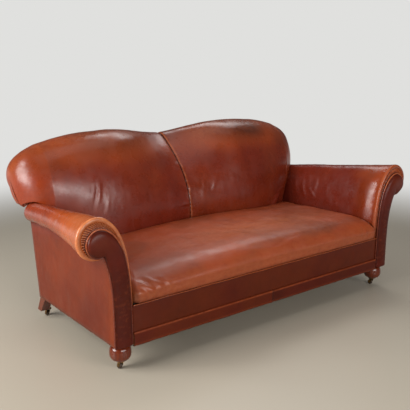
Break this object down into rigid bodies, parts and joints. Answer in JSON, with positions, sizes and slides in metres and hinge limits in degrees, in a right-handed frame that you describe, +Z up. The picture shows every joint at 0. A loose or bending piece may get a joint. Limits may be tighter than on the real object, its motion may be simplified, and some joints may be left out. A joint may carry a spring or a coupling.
{
  "type": "club sofa",
  "caption": "Leather club sofa with a double-humped bolster back, scroll arms, a tight sprung seat, bun front feet, raked rear legs and castors.",
  "frame": {"origin": "on the floor under the middle of the whole sofa", "axes": "+Z up, the front of the seat faces -Y, +X runs along the sofa to the right of a person who looks at its front"},
  "size_m": [1.87, 0.9759, 0.8196],
  "materials": {
    "leather": "waxed, semi-gloss",
    "base_leather": "waxed, semi-gloss",
    "piping_leather": "waxed, semi-gloss",
    "show_wood": "polished, stained",
    "frame_wood": "sawn",
    "stuffing": "felted",
    "hessian": "coarse weave",
    "webbing": "twill weave",
    "dust_cloth": "plain weave",
    "spring_steel": "bright drawn",
    "castor_brass": "aged",
    "castor_tread": "hard, worn"
  },
  "bodies": {
    "sofa": {"front_seat_rail": "frame_wood", "rear_seat_rail": "frame_wood", "side_seat_rail_left": "frame_wood", "side_seat_rail_right": "frame_wood", "corner_blocks": "frame_wood", "arm_front_board_left": "frame_wood", "arm_front_board_right": "frame_wood", "back_post_left": "show_wood", "back_post_right": "show_wood", "back_centre_upright": "frame_wood", "back_top_rail": "frame_wood", "lower_back_rail": "frame_wood", "arm_top_rail_left": "frame_wood", "arm_top_rail_right": "frame_wood", "arm_tacking_rail_left": "frame_wood", "arm_tacking_rail_right": "frame_wood", "seat_webbing": "webbing", "seat_springs": "spring_steel", "seat_hessian": "hessian", "seat_stuffing": "stuffing", "seat_cover": "leather", "seat_front_border": "base_leather", "seat_piping": "piping_leather", "base_strip": "frame_wood", "base_cover_left": "base_leather", "base_cover_right": "base_leather", "back_webbing": "webbing", "back_hessian": "hessian", "back_stuffing_left": "stuffing", "back_stuffing_right": "stuffing", "inside_back_left": "leather", "inside_back_right": "leather", "outside_back": "leather", "arm_stuffing_left": "stuffing", "arm_stuffing_right": "stuffing", "inside_arm_left": "leather", "inside_arm_right": "leather", "outside_arm_left": "leather", "outside_arm_right": "leather", "front_pad_left": "leather", "front_pad_right": "leather", "pad_piping_left": "piping_leather", "pad_piping_right": "piping_leather", "gathered_band_left": "leather", "gathered_band_right": "leather", "dust_cover": "dust_cloth", "bun_feet": "show_wood", "castor_sockets": "castor_brass", "castor_screws": "castor_brass"},
    "castor_front_left": {"castor_horn_front_left": "castor_brass"},
    "wheel_front_left": {"castor_wheel_front_left": "castor_tread"},
    "castor_front_right": {"castor_horn_front_right": "castor_brass"},
    "wheel_front_right": {"castor_wheel_front_right": "castor_tread"},
    "castor_rear_left": {"castor_horn_rear_left": "castor_brass"},
    "wheel_rear_left": {"castor_wheel_rear_left": "castor_tread"},
    "castor_rear_right": {"castor_horn_rear_right": "castor_brass"},
    "wheel_rear_right": {"castor_wheel_rear_right": "castor_tread"}
  },
  "joints": [
    {"name": "swivel_front_left", "type": "hinge", "parent": "sofa", "child": "castor_front_left", "pos_m": [-0.758, -0.429, 0.045], "axis": [0, 0, 1], "continuous": true},
    {"name": "roll_front_left", "type": "hinge", "parent": "castor_front_left", "child": "wheel_front_left", "pos_m": [-0.758, -0.42, 0.0115], "axis": [1, 0, 0], "continuous": true},
    {"name": "swivel_front_right", "type": "hinge", "parent": "sofa", "child": "castor_front_right", "pos_m": [0.758, -0.429, 0.045], "axis": [0, 0, 1], "continuous": true},
    {"name": "roll_front_right", "type": "hinge", "parent": "castor_front_right", "child": "wheel_front_right", "pos_m": [0.758, -0.42, 0.0115], "axis": [1, 0, 0], "continuous": true},
    {"name": "swivel_rear_left", "type": "hinge", "parent": "sofa", "child": "castor_rear_left", "pos_m": [-0.758, 0.226, 0.045], "axis": [0, 0, 1], "continuous": true},
    {"name": "roll_rear_left", "type": "hinge", "parent": "castor_rear_left", "child": "wheel_rear_left", "pos_m": [-0.758, 0.235, 0.0115], "axis": [1, 0, 0], "continuous": true},
    {"name": "swivel_rear_right", "type": "hinge", "parent": "sofa", "child": "castor_rear_right", "pos_m": [0.758, 0.226, 0.045], "axis": [0, 0, 1], "continuous": true},
    {"name": "roll_rear_right", "type": "hinge", "parent": "castor_rear_right", "child": "wheel_rear_right", "pos_m": [0.758, 0.235, 0.0115], "axis": [1, 0, 0], "continuous": true}
  ]
}
